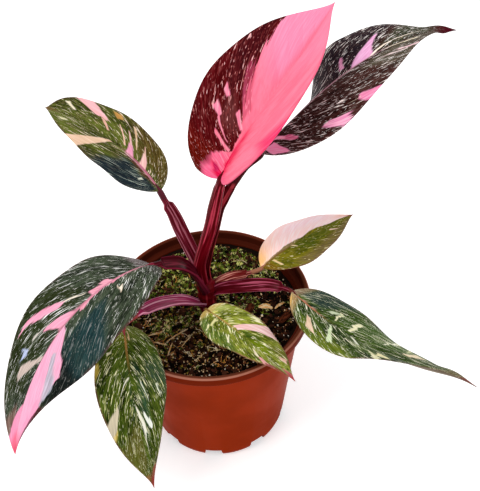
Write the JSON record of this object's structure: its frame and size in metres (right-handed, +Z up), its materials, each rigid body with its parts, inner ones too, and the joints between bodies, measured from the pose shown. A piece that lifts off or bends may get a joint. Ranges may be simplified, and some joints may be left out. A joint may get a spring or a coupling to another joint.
{
  "type": "pink princess philodendron in a nursery pot",
  "caption": "Leafy aroid house plant with dark, pink-splashed pointed leaves on sheathed maroon stalks, growing from compost in a round tapered terracotta-coloured plastic nursery pot.",
  "frame": {"origin": "centre of the pot's underside, on the pot's axis", "axes": "+Z up along the pot's axis; -Y towards the side that the small front leaf points to; +X towards the side of the long-tipped right leaf"},
  "size_m": [0.2639, 0.1632, 0.268],
  "materials": {
    "pot": "semi-matte brick-red polypropylene with a soft sheen, darker on the rim and inside",
    "compost": "dull, very dark damp peat compost with moss, fibres and specks of perlite",
    "stem": "smooth dark maroon stem with leaf scars",
    "petiole": "glossy burgundy with paler ridges along the sheath's wings",
    "leaf_front": "satin light yellow-green with cream streaks, a pale pink patch and a pink margin",
    "leaf_hanging": "satin dark green, densely speckled with cream",
    "leaf_right": "satin dark green with cream streaks and a reddish tip",
    "leaf_inner_right": "satin, one half pale pink and the other olive with cream specks",
    "leaf_large_left": "satin blackish green with pink streaks, a pink sector at the tip and white specks",
    "leaf_upper_left": "satin olive and dark green with pink and cream streaks",
    "leaf_crown": "satin, one half solid pink and the other dark maroon with pink specks",
    "leaf_rear": "satin blackish maroon with lilac-pink patches and fine specks"
  },
  "bodies": {
    "root": {"pot": "pot", "compost": "compost", "stem": "stem", "petiole_front": "petiole", "petiole_hanging": "petiole", "petiole_right": "petiole", "petiole_inner_right": "petiole", "petiole_large_left": "petiole", "petiole_upper_left": "petiole", "petiole_crown": "petiole", "petiole_rear": "petiole", "blade_front": "leaf_front", "blade_hanging": "leaf_hanging", "blade_right": "leaf_right", "blade_inner_right": "leaf_inner_right", "blade_large_left": "leaf_large_left", "blade_upper_left": "leaf_upper_left", "blade_crown": "leaf_crown", "blade_rear": "leaf_rear"}
  },
  "joints": []
}
